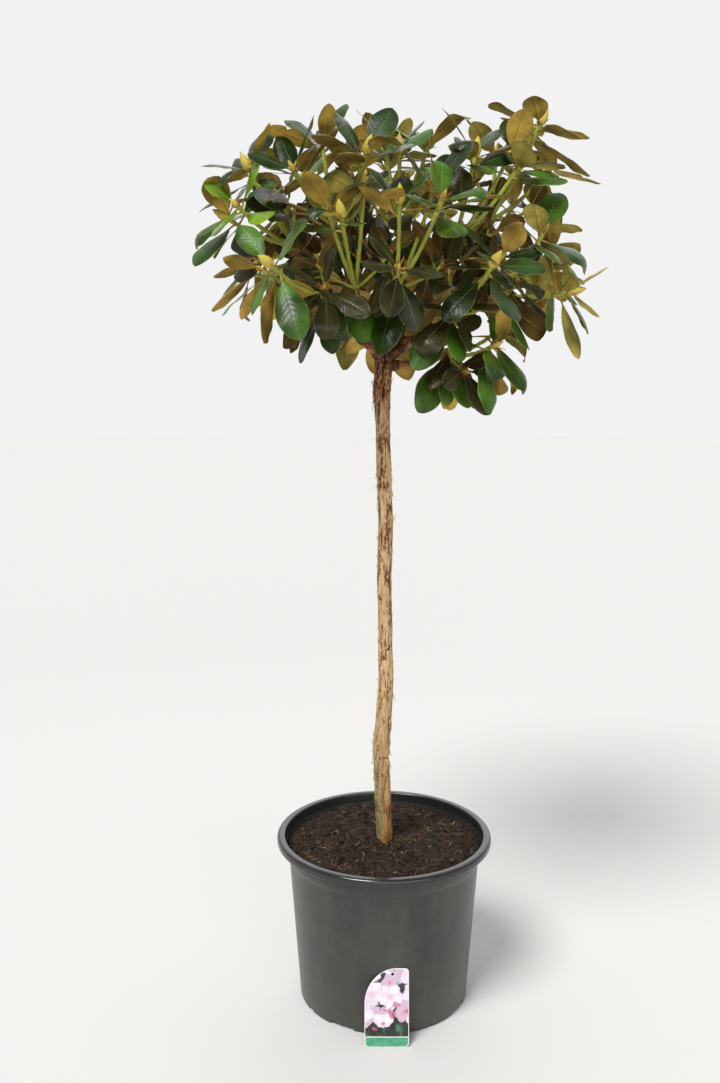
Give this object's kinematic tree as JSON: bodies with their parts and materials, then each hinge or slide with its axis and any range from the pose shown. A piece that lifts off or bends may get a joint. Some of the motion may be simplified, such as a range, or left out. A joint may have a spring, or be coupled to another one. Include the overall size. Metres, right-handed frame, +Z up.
{
  "type": "potted standard rhododendron",
  "caption": "Rhododendron grown as a standard: a round head of leaf whorls and buds on one bare trunk, in a black nursery pot of peat.",
  "frame": {"origin": "centre of the pot's flat underside, on the ground", "axes": "+Z up along the trunk, -Y towards the side with the label, +X to the right of that side"},
  "size_m": [0.6216, 0.5308, 1.4041],
  "materials": {
    "pot": "satin",
    "soil": "matte",
    "label": "gloss",
    "bark": "matte",
    "wood": "matte",
    "leaf": "satin"
  },
  "bodies": {
    "root": {"pot": "pot", "soil": "soil", "label": "label", "trunk": "bark", "bough_front": "wood", "bough_front_left": "wood", "bough_left_low": "wood", "bough_left": "wood", "bough_top_left": "wood", "bough_top": "wood", "bough_top_right": "wood", "bough_right_top": "wood", "bough_right": "wood", "bough_front_right": "wood", "bough_right_low": "wood", "bough_back_right": "wood", "bough_back": "wood", "bough_back_left": "wood", "bough_back_low": "wood", "bough_back_top": "wood", "foliage_front": "leaf", "foliage_front_left": "leaf", "foliage_left_low": "leaf", "foliage_left": "leaf", "foliage_top_left": "leaf", "foliage_top": "leaf", "foliage_top_right": "leaf", "foliage_right_top": "leaf", "foliage_right": "leaf", "foliage_front_right": "leaf", "foliage_right_low": "leaf", "foliage_back_right": "leaf", "foliage_back": "leaf", "foliage_back_left": "leaf", "foliage_back_low": "leaf", "foliage_back_top": "leaf"}
  },
  "joints": []
}
